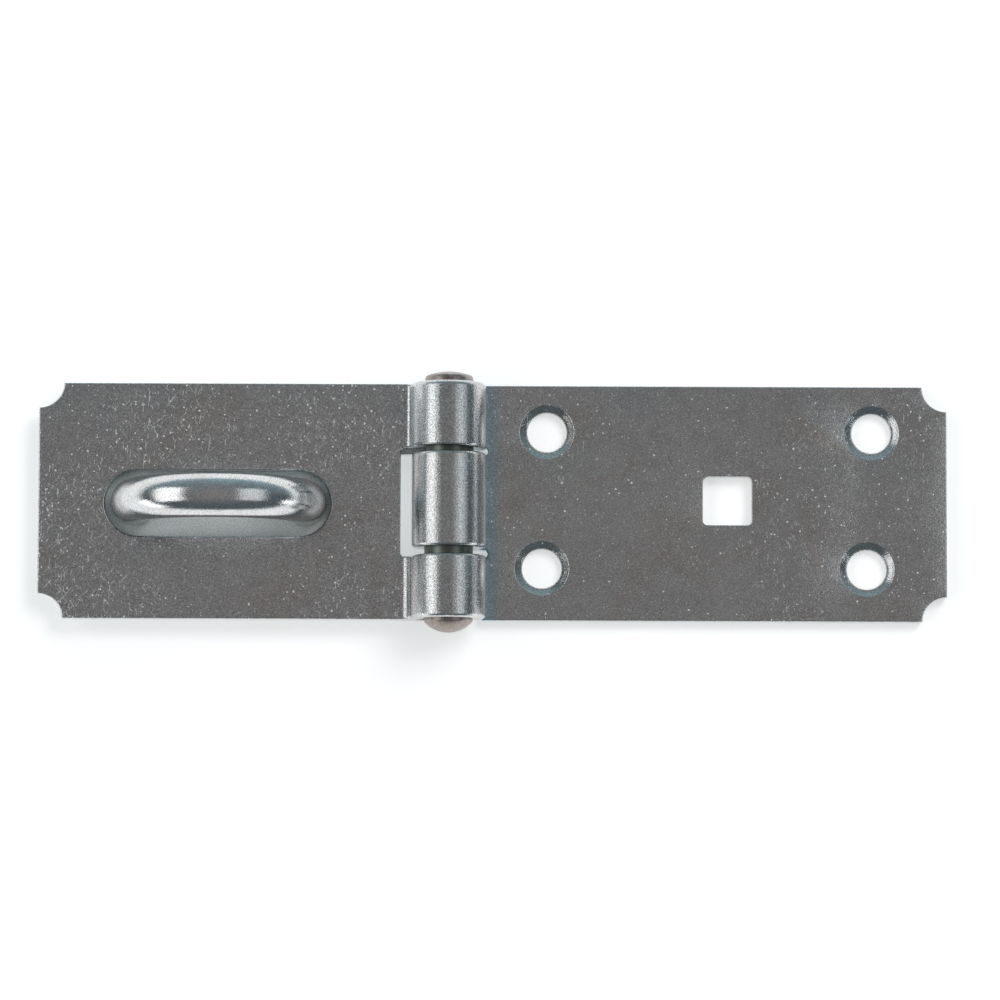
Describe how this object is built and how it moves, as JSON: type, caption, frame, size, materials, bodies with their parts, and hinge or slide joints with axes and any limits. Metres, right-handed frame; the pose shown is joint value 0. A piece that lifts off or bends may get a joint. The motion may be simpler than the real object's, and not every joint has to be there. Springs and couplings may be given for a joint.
{
  "type": "hasp and staple",
  "caption": "Heavy hinged hasp with a slotted leaf closed over a bent-rod staple, and a countersunk hinge leaf with a square bolt hole.",
  "frame": {"origin": "on the mounting plane, straight under the middle of the hinge pin's axis", "axes": "+X along the hinge leaf, away from the staple; +Y along the hinge pin; +Z away from the surface it is screwed to"},
  "size_m": [0.1905, 0.0547, 0.0296],
  "materials": {
    "hinge_leaf_zinc": "bright zinc plating, slightly mottled",
    "hasp_leaf_zinc": "bright zinc plating, slightly mottled",
    "pin_steel": "satin, riveted ends",
    "plate_zinc": "satin zinc plating",
    "staple_zinc": "bright zinc plating"
  },
  "bodies": {
    "staple_set": {"staple_plate": "plate_zinc", "staple": "staple_zinc"},
    "hinge_half": {"hinge_leaf": "hinge_leaf_zinc"},
    "hasp_half": {"hasp_leaf": "hasp_leaf_zinc", "hinge_pin": "pin_steel"}
  },
  "joints": [
    {"name": "lift_off", "type": "slide", "parent": "staple_set", "child": "hinge_half", "axis": [0, 0, 1], "range_m": [0, 0.035]},
    {"name": "hasp_swing", "type": "hinge", "parent": "hinge_half", "child": "hasp_half", "pos_m": [0, 0, 0.0078], "axis": [0, 1, 0], "range_deg": [0, 184]}
  ]
}
